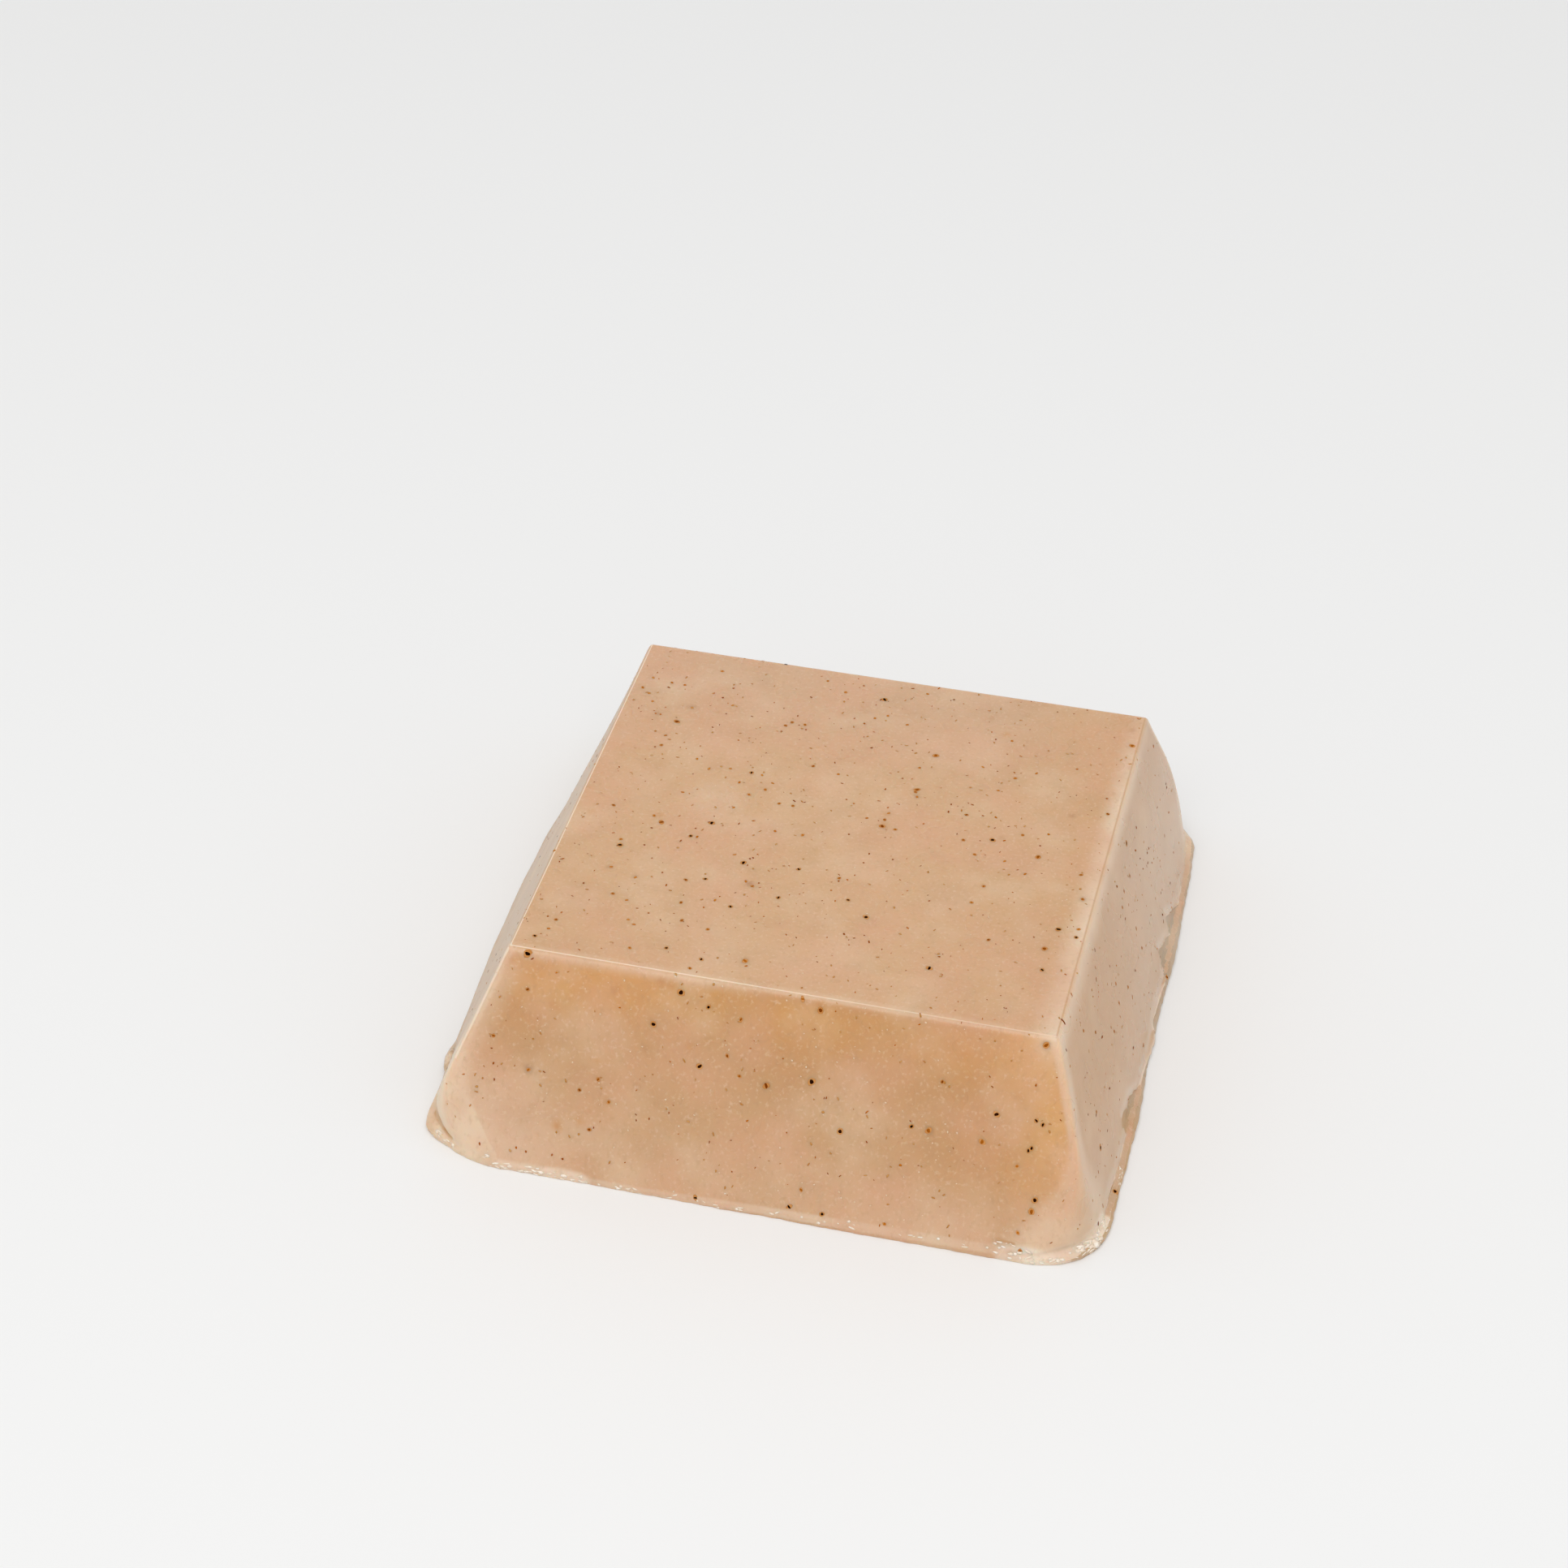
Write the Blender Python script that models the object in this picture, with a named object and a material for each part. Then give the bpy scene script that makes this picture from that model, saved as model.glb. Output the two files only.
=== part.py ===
"""A block of sesame tofu, turned out of its tub and standing on its wide side.

Metres, +Z up. +X runs along the front edge, -Y faces the front.
The origin is at the middle of the foot, in the plane that the block rests on.
The small square face of the tub's bottom is now the top. The four walls slope
outward to a wider foot with rounded corners, where the tub's rim has left a
thin, uneven lip. The block has sagged a little, so no two walls are the same.
"""

import math
import random

import bmesh
import bpy

# Driving dimensions, in metres.
HEIGHT = 0.0223
TOP_WIDTH = 0.0619
TOP_DEPTH = 0.0614
FOOT_WIDTH = 0.0772
FOOT_DEPTH = 0.0855

# Neither face is quite a true rectangle: each corner's own drift in x and y.
TOP_DRIFT = {
    "front_left": (-0.0003, -0.0003),
    "front_right": (-0.0001, 0.0003),
    "back_right": (0.0004, 0.0006),
    "back_left": (0.0001, -0.0006),
}
FOOT_DRIFT = {
    "front_left": (-0.0009, -0.0007),
    "front_right": (-0.0001, -0.0005),
    "back_right": (-0.0005, -0.0002),
    "back_left": (0.0002, -0.0002),
}

# How far each corner's edge swells sideways halfway up, off the straight line.
CORNER_BELLY = {"front_left": 0.0001, "front_right": 0.0004, "back_right": 0.0000, "back_left": 0.0000}

# Corner rounding: crisp at the top, opening out below the height given for each corner.
TOP_ROUND = 0.0004
FOOT_ROUND = {"front_left": 0.0116, "front_right": 0.0097, "back_right": 0.0100, "back_left": 0.0125}
ROUND_START = {"front_left": 0.0095, "front_right": 0.0125, "back_right": 0.0150, "back_left": 0.0200}
ROUND_POWER = 1.8
EDGE_BEVEL = 0.0002

# How far each sagging wall bows out at its foot, and where along the wall it bows most:
# under 1, the bow's peak moves towards the wall's start.
WALL_BOW = {"front": 0.0000, "right": 0.0006, "back": 0.0007, "left": 0.0020}
BOW_SKEW = {"front": 1.0, "right": 1.0, "back": 1.0, "left": 0.72}
BOW_POWER = 1.2

# Slow waves over the walls: their depth, and how fast they turn along x, y and z.
WALL_WAVE = 0.00010
WALL_WAVE_RATE = (230, 110, 160)

# The lip round the foot: its height, and how far it reaches on each side.
LIP_HEIGHT = 0.0010
LIP_REACH = {"front": 0.0002, "right": 0.00115, "back": 0.00095, "left": 0.00035}
LEAST_REACH = 0.00003

# The lip's section below its crease with the wall: shares of its reach and of its height.
LIP_BROW = (0.55, 0.85)
LIP_NOSE = (1.0, 0.42)
LIP_SOLE = (0.8, 0.0)

# How ragged the lip is: the waves run this many times round the foot.
LIP_RAGGED = 0.00013
LIP_WAVES = (5, 9, 14, 23, 31, 44)
LIP_SEED = 7

# Lobes of the lip: middle in x and y, width along the edge, extra reach, extra height.
LIP_LOBES = (
    (-0.0385, -0.0391, 0.0026, 0.0014, 0.0008),   # folded lobe at the front left corner
    (-0.0394, -0.0270, 0.0011, 0.0008, 0.0008),   # bead on the left edge
    (0.0365, -0.0402, 0.0050, 0.0004, 0.0003),    # wet bead round the front right corner
    (0.0386, -0.0170, 0.0025, 0.0001, 0.0006),    # thicker stretch of the right edge
    (0.0388, -0.0010, 0.0110, -0.0006, 0.0000),   # thin stretch at the middle of the right edge
    (0.0386, 0.0140, 0.0040, 0.0001, 0.0007),     # thicker stretch behind it
    (0.0376, 0.0355, 0.0016, 0.0005, 0.0008),     # end bead by the back right corner
    (0.0120, 0.0432, 0.0050, 0.0004, 0.0004),     # thicker stretch of the back edge
    (-0.0250, 0.0428, 0.0040, 0.0003, 0.0003),    # another one
)

# How finely the outline and the walls are divided.
SIDE_STEPS = 40
CORNER_STEPS = 10
WALL_HEIGHT_SHARES = (0.86, 0.72, 0.59, 0.48, 0.39, 0.31, 0.24, 0.18, 0.13)

CORNERS = ("front_left", "front_right", "back_right", "back_left")
SIDES = ("front", "right", "back", "left")
CORNER_SIGNS = {
    "front_left": (-1, -1),
    "front_right": (1, -1),
    "back_right": (1, 1),
    "back_left": (-1, 1),
}

TOFU_COLOUR = (0.62, 0.38, 0.21, 1.0)
TOFU_ROUGHNESS = 0.32
CREASE_ANGLE = math.radians(35)


def clear_scene():
    """Take away whatever a new scene starts with."""
    for item in list(bpy.data.objects):
        bpy.data.objects.remove(item, do_unlink=True)


def mix(a, b, share):
    """The value this share of the way from a to b."""
    return a + (b - a) * share


def unit(dx, dy):
    """The same direction at length one."""
    length = math.hypot(dx, dy)
    return dx / length, dy / length


def sharp_corner(corner, height):
    """Where two walls would meet at this height if their corner were not rounded."""
    sign_x, sign_y = CORNER_SIGNS[corner]
    drop = 1 - height / HEIGHT
    top_x = sign_x * TOP_WIDTH / 2 + TOP_DRIFT[corner][0]
    top_y = sign_y * TOP_DEPTH / 2 + TOP_DRIFT[corner][1]
    foot_x = sign_x * FOOT_WIDTH / 2 + FOOT_DRIFT[corner][0]
    foot_y = sign_y * FOOT_DEPTH / 2 + FOOT_DRIFT[corner][1]
    belly = sign_x * CORNER_BELLY[corner] * math.sin(math.pi * drop)
    return mix(top_x, foot_x, drop) + belly, mix(top_y, foot_y, drop)


def corner_setback(corner, height):
    """How far the rounding eats back along each wall from the sharp corner."""
    share = max(0.0, 1 - height / ROUND_START[corner])
    return TOP_ROUND + (FOOT_ROUND[corner] - TOP_ROUND) * share ** ROUND_POWER


def corner_points(here, to_before, to_after, setback):
    """The rounded corner, from the wall before it to the wall after it."""
    points = []
    for step in range(CORNER_STEPS):
        turn = (step + 0.5) / CORNER_STEPS * math.pi / 2
        along_before = setback * (1 - math.sin(turn))
        along_after = setback * (1 - math.cos(turn))
        x = here[0] + to_before[0] * along_before + to_after[0] * along_after
        y = here[1] + to_before[1] * along_before + to_after[1] * along_after
        outward = unit(
            -to_before[0] * math.sin(turn) - to_after[0] * math.cos(turn),
            -to_before[1] * math.sin(turn) - to_after[1] * math.cos(turn),
        )
        points.append((x, y, outward))
    return points


def side_points(here, after, to_after, setbacks, bow, skew):
    """One wall's stretch of the outline, bowed out between its corners."""
    points = []
    length = math.hypot(after[0] - here[0], after[1] - here[1])
    outward = (to_after[1], -to_after[0])
    for step in range(SIDE_STEPS):
        share = (step + 0.5) / SIDE_STEPS
        along = mix(setbacks[0], length - setbacks[1], share)
        push = bow * math.sin(math.pi * share ** skew)
        x = here[0] + to_after[0] * along + outward[0] * push
        y = here[1] + to_after[1] * along + outward[1] * push
        points.append((x, y, outward))
    return points


def outline(height):
    """The block's section: front left corner first, counter-clockwise seen from above.

    Each point comes with its outward direction. Every section has the same number of
    points in the same order, so that neighbouring sections join point to point.
    """
    drop = 1 - height / HEIGHT
    sharp = [sharp_corner(corner, height) for corner in CORNERS]
    points = []
    for index, corner in enumerate(CORNERS):
        following = CORNERS[(index + 1) % len(CORNERS)]
        here = sharp[index]
        after = sharp[(index + 1) % len(CORNERS)]
        before = sharp[index - 1]
        to_after = unit(after[0] - here[0], after[1] - here[1])
        to_before = unit(before[0] - here[0], before[1] - here[1])
        setbacks = (corner_setback(corner, height), corner_setback(following, height))
        side = SIDES[index]
        bow = WALL_BOW[side] * drop ** BOW_POWER
        points += corner_points(here, to_before, to_after, setbacks[0])
        points += side_points(here, after, to_after, setbacks, bow, BOW_SKEW[side])
    return points


def lip_share(outward):
    """The lip's plain reach for a point, from the way it faces."""
    facing = {"front": -outward[1], "right": outward[0], "back": outward[1], "left": -outward[0]}
    return sum(LIP_REACH[side] * max(0.0, facing[side]) ** 2 for side in SIDES)


def ragged_wave(count):
    """One seeded value for each point of the outline, joining up after a full turn."""
    draw = random.Random(LIP_SEED)
    waves = [(number, draw.uniform(0, 2 * math.pi), draw.uniform(0.5, 1)) for number in LIP_WAVES]
    total = sum(weight for _, _, weight in waves)
    values = []
    for index in range(count):
        turn = 2 * math.pi * index / count
        swing = sum(weight * math.sin(number * turn + phase) for number, phase, weight in waves)
        values.append(swing / total)
    return values


def lobe_sums(x, y):
    """Extra reach and extra height that the lobes give the lip at a place on the foot."""
    reach = 0.0
    rise = 0.0
    for lobe_x, lobe_y, width, lobe_reach, lobe_rise in LIP_LOBES:
        distance = math.hypot(x - lobe_x, y - lobe_y)
        share = math.exp(-((distance / width) ** 2))
        reach += lobe_reach * share
        rise += lobe_rise * share
    return reach, rise


def wall_ring(height):
    """One section of the walls, with their slow waves."""
    ring = []
    drop = 1 - height / HEIGHT
    for x, y, outward in outline(height):
        turn = x * WALL_WAVE_RATE[0] + y * WALL_WAVE_RATE[1] + height * WALL_WAVE_RATE[2]
        push = WALL_WAVE * math.sin(turn) * drop
        ring.append((x + outward[0] * push, y + outward[1] * push, height))
    return ring


def lip_rings():
    """The rings of the lip, from its crease with the wall down to the ground."""
    foot = outline(LIP_HEIGHT)
    ragged = ragged_wave(len(foot))
    wall_slope = (FOOT_DEPTH - TOP_DEPTH) / 2 / HEIGHT
    crease = []
    brow = []
    nose = []
    sole = []
    for (x, y, outward), rough in zip(foot, ragged):
        lobe_reach, lobe_rise = lobe_sums(x, y)
        reach = max(LEAST_REACH, lip_share(outward) + lobe_reach + LIP_RAGGED * rough)
        rise = LIP_HEIGHT + lobe_rise + LIP_RAGGED * rough
        push_in = (rise - LIP_HEIGHT) * wall_slope
        crease.append((x - outward[0] * push_in, y - outward[1] * push_in, rise))
        for ring, (reach_share, rise_share) in ((brow, LIP_BROW), (nose, LIP_NOSE), (sole, LIP_SOLE)):
            push = reach * reach_share
            ring.append((x + outward[0] * push, y + outward[1] * push, rise * rise_share))
    return [crease, brow, nose, sole]


def bevelled_edge():
    """The crisp rounded edge round the top face: two rings above the first wall ring."""
    inner = outline(HEIGHT)
    chord = EDGE_BEVEL * (1 - math.sqrt(0.5))
    rings = []
    for inset, drop in ((EDGE_BEVEL, 0.0), (chord, chord)):
        rings.append([(x - out[0] * inset, y - out[1] * inset, HEIGHT - drop) for x, y, out in inner])
    return rings


def block_rings():
    """All rings, from the small top face down to the ground."""
    rings = bevelled_edge()
    rings.append(wall_ring(HEIGHT - EDGE_BEVEL))
    rings.extend(wall_ring(HEIGHT * share) for share in WALL_HEIGHT_SHARES)
    rings.extend(lip_rings())
    return rings


def centred(rings):
    """Move the rings so that the block's box is centred over the origin."""
    xs = [point[0] for ring in rings for point in ring]
    ys = [point[1] for ring in rings for point in ring]
    middle_x = (min(xs) + max(xs)) / 2
    middle_y = (min(ys) + max(ys)) / 2
    return [[(x - middle_x, y - middle_y, z) for x, y, z in ring] for ring in rings]


def tofu_material():
    """Moist, warm beige tofu with a soft shine."""
    material = bpy.data.materials.new("sesame_tofu")
    material.use_nodes = True
    shader = material.node_tree.nodes["Principled BSDF"]
    shader.inputs["Base Color"].default_value = TOFU_COLOUR
    shader.inputs["Roughness"].default_value = TOFU_ROUGHNESS
    shader.inputs["Metallic"].default_value = 0.0
    return material


def build_block():
    """Join the rings into one closed solid."""
    mesh = bpy.data.meshes.new("sesame_tofu")
    shape = bmesh.new()
    rings = [[shape.verts.new(point) for point in ring] for ring in centred(block_rings())]
    count = len(rings[0])
    for upper, lower in zip(rings, rings[1:]):
        for index in range(count):
            after = (index + 1) % count
            shape.faces.new((upper[index], lower[index], lower[after], upper[after]))
    shape.faces.new(rings[0])
    shape.faces.new(list(reversed(rings[-1])))
    bmesh.ops.recalc_face_normals(shape, faces=shape.faces)
    shape.to_mesh(mesh)
    shape.free()
    mesh.shade_smooth()
    mesh.set_sharp_from_angle(angle=CREASE_ANGLE)
    mesh.materials.append(tofu_material())
    block = bpy.data.objects.new("sesame_tofu", mesh)
    bpy.context.scene.collection.objects.link(block)
    return block


clear_scene()
build_block()
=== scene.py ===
"""A block of sesame tofu, turned out of its tub: the looks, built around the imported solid.

Metres, +Z up, in the solid's own frame: -Y is the front, and the block rests on z = 0.
Places on the block that were read off the photograph are pixels of its 1932 x 1932 frame.
"""

import math
import random

import bpy
import numpy as np
from mathutils import Matrix, Vector, noise
from mathutils.bvhtree import BVHTree


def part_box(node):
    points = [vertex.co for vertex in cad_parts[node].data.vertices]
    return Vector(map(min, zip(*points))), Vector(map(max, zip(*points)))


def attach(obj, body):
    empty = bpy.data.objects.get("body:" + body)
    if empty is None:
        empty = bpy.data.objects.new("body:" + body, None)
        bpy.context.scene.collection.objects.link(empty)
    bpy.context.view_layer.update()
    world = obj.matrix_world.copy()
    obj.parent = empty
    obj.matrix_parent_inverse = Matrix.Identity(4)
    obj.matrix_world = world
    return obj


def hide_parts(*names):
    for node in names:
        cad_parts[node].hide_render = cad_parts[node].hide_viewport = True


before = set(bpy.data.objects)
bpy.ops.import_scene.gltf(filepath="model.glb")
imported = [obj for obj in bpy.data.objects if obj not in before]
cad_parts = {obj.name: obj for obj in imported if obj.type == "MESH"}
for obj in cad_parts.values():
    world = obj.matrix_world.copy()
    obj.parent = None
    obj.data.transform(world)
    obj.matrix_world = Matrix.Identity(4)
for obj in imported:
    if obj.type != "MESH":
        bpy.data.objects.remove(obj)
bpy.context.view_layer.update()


# ---- The camera ------------------------------------------------------------------------
# It looks down on the block from the front and a little from the right, through a long
# lens. The vanishing points of the block's straight top edges fix all of this.

PHOTO_PIXELS = 1932
SENSOR = 36.0
LENS = 84.973
CAMERA_PLACE = Vector((0.06282, -0.33581, 0.28601))
CAMERA_PITCH = math.radians(37.086)
CAMERA_TURN = math.radians(11.676)
CAMERA_ROLL = math.radians(2.272)

camera_data = bpy.data.cameras.new("camera")
camera_data.lens = LENS
camera_data.sensor_width = SENSOR
camera_data.clip_start = 0.02
camera_data.clip_end = 20.0
camera = bpy.data.objects.new("camera", camera_data)
bpy.context.scene.collection.objects.link(camera)
camera.location = CAMERA_PLACE
camera_turn = (
    Matrix.Rotation(CAMERA_TURN, 4, "Z")
    @ Matrix.Rotation(math.pi / 2 - CAMERA_PITCH, 4, "X")
    @ Matrix.Rotation(CAMERA_ROLL, 4, "Z")
)
camera.rotation_euler = camera_turn.to_euler()
bpy.context.scene.camera = camera


def sight_line(pixel):
    """The direction in which the camera sees a pixel of the photograph."""
    focal_pixels = LENS / SENSOR * PHOTO_PIXELS
    across = (pixel[0] - PHOTO_PIXELS / 2) / focal_pixels
    up = (PHOTO_PIXELS / 2 - pixel[1]) / focal_pixels
    return (camera_turn.to_3x3() @ Vector((across, up, -1.0))).normalized()


# ---- The block -------------------------------------------------------------------------
# Ground sesame paste, water and starch, cooked to a thick paste and set in a square tub.
# It is turned out upside down: the tub's flat bottom gives the crisp, smooth top, and the
# paste round the tub's rim makes the thin ragged lip at the foot.

BLOCK_LOW, BLOCK_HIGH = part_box("sesame_tofu")
BLOCK_HEIGHT = BLOCK_HIGH.z
CORNERS = ((-1, -1), (1, -1), (1, 1), (-1, 1))
CELLS_ACROSS = 84
EDGE_CELL = 0.008
CORNER_CELLS = 0.90
LIP_ROWS = (0.00012, 0.0003, 0.0005, 0.0007, 0.0009, 0.0011, 0.0013, 0.0016, 0.0020, 0.0025, 0.0032, 0.0040)
WALL_ROW = 0.0009
EDGE_ROWS = tuple(BLOCK_HEIGHT - drop for drop in (0.0012, 0.0006, 0.0002, 0.00006))
CORNER_CORE_TOP = 0.0015
CORNER_CORE_FOOT = 0.0105
SMALLEST_HEIGHT = 0.00002
OUTSIDE = 0.03
FACING_DOWN = -0.9
EASE_FACTOR = 0.5
WALL_EASE = 6
WALL_FROM = (0.0014, 0.0028)
WALL_TO = (0.0206, 0.0214)
MIDDLE_EASE = 40
MIDDLE_FROM = (0.0026, 0.0045)
MIDDLE_TO = (0.0185, 0.0205)
MIDDLE_BESIDE = (0.004, 0.008)
WALL_SKIN = 0.004


def only(piece):
    """Select this piece alone."""
    bpy.ops.object.select_all(action="DESELECT")
    piece.select_set(True)
    bpy.context.view_layer.objects.active = piece


def cut(places, normal):
    """Cut the whole mesh straight through at each place along the normal."""
    for place in places:
        bpy.ops.mesh.select_all(action="SELECT")
        bpy.ops.mesh.bisect(plane_co=Vector(normal) * place, plane_no=normal)


def hand_over(piece, modifier):
    """Apply a modifier, so that its result is the piece's own mesh."""
    only(piece)
    bpy.ops.object.modifier_apply(modifier=modifier.name)


def add_group(piece, name, weight_at):
    """A vertex group whose weight is worked out from each vertex's place."""
    group = piece.vertex_groups.new(name=name)
    for vertex in piece.data.vertices:
        weight = weight_at(vertex.co)
        if weight > 0:
            group.add([vertex.index], min(1.0, weight), "REPLACE")


def between(value, low, high):
    """0 below low, 1 above high, and a smooth rise from one to the other."""
    share = min(1.0, max(0.0, (value - low) / (high - low)))
    return share * share * (3 - 2 * share)


def mix(a, b, share):
    """The value this share of the way from a to b."""
    return a + (b - a) * share


def as_tree(mesh):
    """A mesh's faces, ready for rays to be cast onto them."""
    places = [vertex.co.copy() for vertex in mesh.vertices]
    return BVHTree.FromPolygons(places, [tuple(face.vertices) for face in mesh.polygons])


# The solid gives the form: its surface, and the corners of its top.
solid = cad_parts["sesame_tofu"].data
form = as_tree(solid)
top_points = [v.co.copy() for v in solid.vertices if v.co.z > BLOCK_HEIGHT - SMALLEST_HEIGHT]
top_corners = {sign: max(top_points, key=lambda p: sign[0] * p.x + sign[1] * p.y) for sign in CORNERS}


def walls_at(drop):
    """Where the left, right, front and back wall stand, this share of the way down."""
    left_x = mix(max(top_corners[-1, -1].x, top_corners[-1, 1].x), BLOCK_LOW.x, drop)
    right_x = mix(min(top_corners[1, -1].x, top_corners[1, 1].x), BLOCK_HIGH.x, drop)
    front_y = mix(max(top_corners[-1, -1].y, top_corners[1, -1].y), BLOCK_LOW.y, drop)
    back_y = mix(min(top_corners[-1, 1].y, top_corners[1, 1].y), BLOCK_HIGH.y, drop)
    return left_x, right_x, front_y, back_y


# A straight-sided block at the foot's size, cut into small cells, finest at its edges.
bpy.ops.object.select_all(action="DESELECT")
bpy.ops.mesh.primitive_cube_add(size=1.0, location=(0, 0, BLOCK_HEIGHT / 2))
block = bpy.context.active_object
block.name = "tofu_block"
block.data.name = "tofu_block"
block.scale = (BLOCK_HIGH.x - BLOCK_LOW.x, BLOCK_HIGH.y - BLOCK_LOW.y, BLOCK_HEIGHT)
bpy.ops.object.transform_apply(location=True, rotation=True, scale=True)
bpy.ops.object.mode_set(mode="EDIT")
cell_lines = [step / CELLS_ACROSS * 2 - 1 for step in range(1, CELLS_ACROSS)]
cell_lines += [EDGE_CELL - 1, 1 - EDGE_CELL]
halfway_lines = [line + 1 / CELLS_ACROSS for line in cell_lines]
cell_lines += [line for line in halfway_lines if CORNER_CELLS < abs(line) < 1 - 2 * EDGE_CELL]
cut([line * BLOCK_HIGH.x for line in cell_lines], (1, 0, 0))
cut([line * BLOCK_HIGH.y for line in cell_lines], (0, 1, 0))
cut([*LIP_ROWS, *np.arange(LIP_ROWS[-1] + WALL_ROW, EDGE_ROWS[0], WALL_ROW), *EDGE_ROWS], (0, 0, 1))
bpy.ops.mesh.select_mode(type="FACE")
bpy.ops.mesh.select_all(action="DESELECT")
bpy.ops.object.mode_set(mode="OBJECT")
for face in block.data.polygons:
    face.select = face.normal.z < FACING_DOWN
bpy.ops.object.mode_set(mode="EDIT")
bpy.ops.mesh.delete(type="FACE")
bpy.ops.object.mode_set(mode="OBJECT")

# The four walls lean in to the top's real corners, which a cage of eight points sets.
cage_data = bpy.data.lattices.new("cage")
cage = bpy.data.objects.new("cage", cage_data)
bpy.context.scene.collection.objects.link(cage)
cage.location = (0, 0, BLOCK_HEIGHT / 2)
cage.scale = block.dimensions
cage_data.interpolation_type_u = "KEY_LINEAR"
cage_data.interpolation_type_v = "KEY_LINEAR"
cage_data.interpolation_type_w = "KEY_LINEAR"
for point in cage_data.points:
    if point.co.z > 0:
        corner = top_corners[round(2 * point.co.x), round(2 * point.co.y)]
        point.co_deform = (corner.x / cage.scale.x, corner.y / cage.scale.y, point.co.z)
bpy.context.view_layer.update()
lean = block.modifiers.new("lean", "LATTICE")
lean.object = cage
hand_over(block, lean)
bpy.data.objects.remove(cage)

# Each point of a wall goes straight in or out to the solid's wall, corner or lip.
for vertex in block.data.vertices:
    if vertex.co.z > BLOCK_HEIGHT - SMALLEST_HEIGHT:
        continue
    drop = 1 - vertex.co.z / BLOCK_HEIGHT
    core = mix(CORNER_CORE_TOP, CORNER_CORE_FOOT, drop ** 2)
    left_x, right_x, front_y, back_y = walls_at(drop)
    middle_x = min(right_x - core, max(left_x + core, vertex.co.x))
    middle_y = min(back_y - core, max(front_y + core, vertex.co.y))
    middle = Vector((middle_x, middle_y, vertex.co.z))
    outward = (vertex.co - middle).normalized()
    height = max(SMALLEST_HEIGHT, vertex.co.z)
    start = Vector((middle.x, middle.y, height)) + outward * OUTSIDE
    place = form.ray_cast(start, -outward)[0]
    vertex.co = (place.x, place.y, vertex.co.z)


def on_walls(co):
    """1 on the walls, 0 on the lip and beside the top edge."""
    return between(co.z, *WALL_FROM) * (1 - between(co.z, *WALL_TO))


def in_middle(co):
    """1 in the middle of a wall, 0 at its corners, its top edge and its lip."""
    left_x, right_x, front_y, back_y = walls_at(1 - co.z / BLOCK_HEIGHT)
    off_x = max(left_x - co.x, co.x - right_x)
    off_y = max(front_y - co.y, co.y - back_y)
    from_corner = -min(off_x, off_y) if max(off_x, off_y) > -WALL_SKIN else 0.0
    upright = between(co.z, *MIDDLE_FROM) * (1 - between(co.z, *MIDDLE_TO))
    return between(from_corner, *MIDDLE_BESIDE) * upright


# The walls are eased until none of the solid's facets shows, and the cells halved.
for name, weight_at, iterations in (("walls", on_walls, WALL_EASE), ("middles", in_middle, MIDDLE_EASE)):
    add_group(block, name, weight_at)
    ease = block.modifiers.new(name, "SMOOTH")
    ease.vertex_group = name
    ease.factor = EASE_FACTOR
    ease.iterations = iterations
    hand_over(block, ease)
finer = block.modifiers.new("finer", "SUBSURF")
finer.levels = 1
finer.render_levels = 1
hand_over(block, finer)
only(block)
bpy.ops.object.shade_smooth()

# The flat underside closes it.
bpy.ops.object.mode_set(mode="EDIT")
bpy.ops.mesh.select_all(action="DESELECT")
bpy.ops.mesh.select_mode(type="EDGE")
bpy.ops.mesh.select_non_manifold(extend=False)
bpy.ops.mesh.edge_face_add()
bpy.ops.object.mode_set(mode="OBJECT")

# The lip and the flap above it. On the right the wall's skin ends in a wavy edge that hangs
# just over the tan lip, which is rough. A fold sets off the lobe at the front left corner,
# a wrinkle and a seam run beside the front right one, and the lip ends at the back right.
FLAP_PIXELS = (
    (1471, 1039), (1461, 1078), (1450, 1115), (1436, 1130), (1441, 1150), (1427, 1171),
    (1432, 1190), (1436, 1212), (1420, 1256), (1421, 1287), (1404, 1339), (1391, 1351),
    (1382, 1380), (1388, 1398), (1374, 1448), (1367, 1466), (1361, 1501),
)
FLAP_HANG = 0.00016
FLAP_FALL = 0.0006
FLAP_FADE = (0.0035, 0.0050)
UNDER_FLAP = -0.35
LIP_TOP = 0.0014
LIP_ROUGH = 0.00011
LIP_ROUGH_RATE = 900.0
LEFT_ROUGH_SHARE = 0.15
FOLD_PIXELS = ((536, 1370), (541, 1380), (547, 1390), (556, 1402))
WRINKLE_PIXELS = ((1226, 1526), (1237, 1529), (1249, 1533))
SEAM_PIXELS = ((1242, 1543), (1270, 1548), (1300, 1543), (1325, 1533), (1343, 1521), (1355, 1509))
FOLD_DEPTH = 0.00012
FOLD_WIDTH = 0.00045
SEAM_DEPTH = 0.00006
LIP_END_PIXEL = (1476, 1044)
LIP_END_INWARD = 0.0003
LIP_END_REACH = 0.0035
SKIN_WAVE = 0.000015
SKIN_WAVE_RATE = 260.0
FACING_UP = (0.90, 0.97)
FACING_SIDEWAYS = (0.55, 0.80)
FACING_LEFT = (0.4, 0.7)


def rise(values, low, high):
    """The same smooth rise for a whole array."""
    share = np.clip((values - low) / (high - low), 0, 1)
    return share * share * (3 - 2 * share)


def land(tree, pixel):
    """The place and the facing on a surface that the photograph shows at a pixel."""
    place, normal, _, _ = tree.ray_cast(CAMERA_PLACE, sight_line(pixel))
    return place, normal


def land_all(tree, pixels):
    """The places that the photograph shows at some pixels."""
    return [land(tree, pixel)[0] for pixel in pixels]


def read(piece):
    """The places and the facings of a piece's vertices."""
    places = np.array([v.co[:] for v in piece.data.vertices])
    facings = np.array([v.normal[:] for v in piece.data.vertices])
    return places, facings


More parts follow.
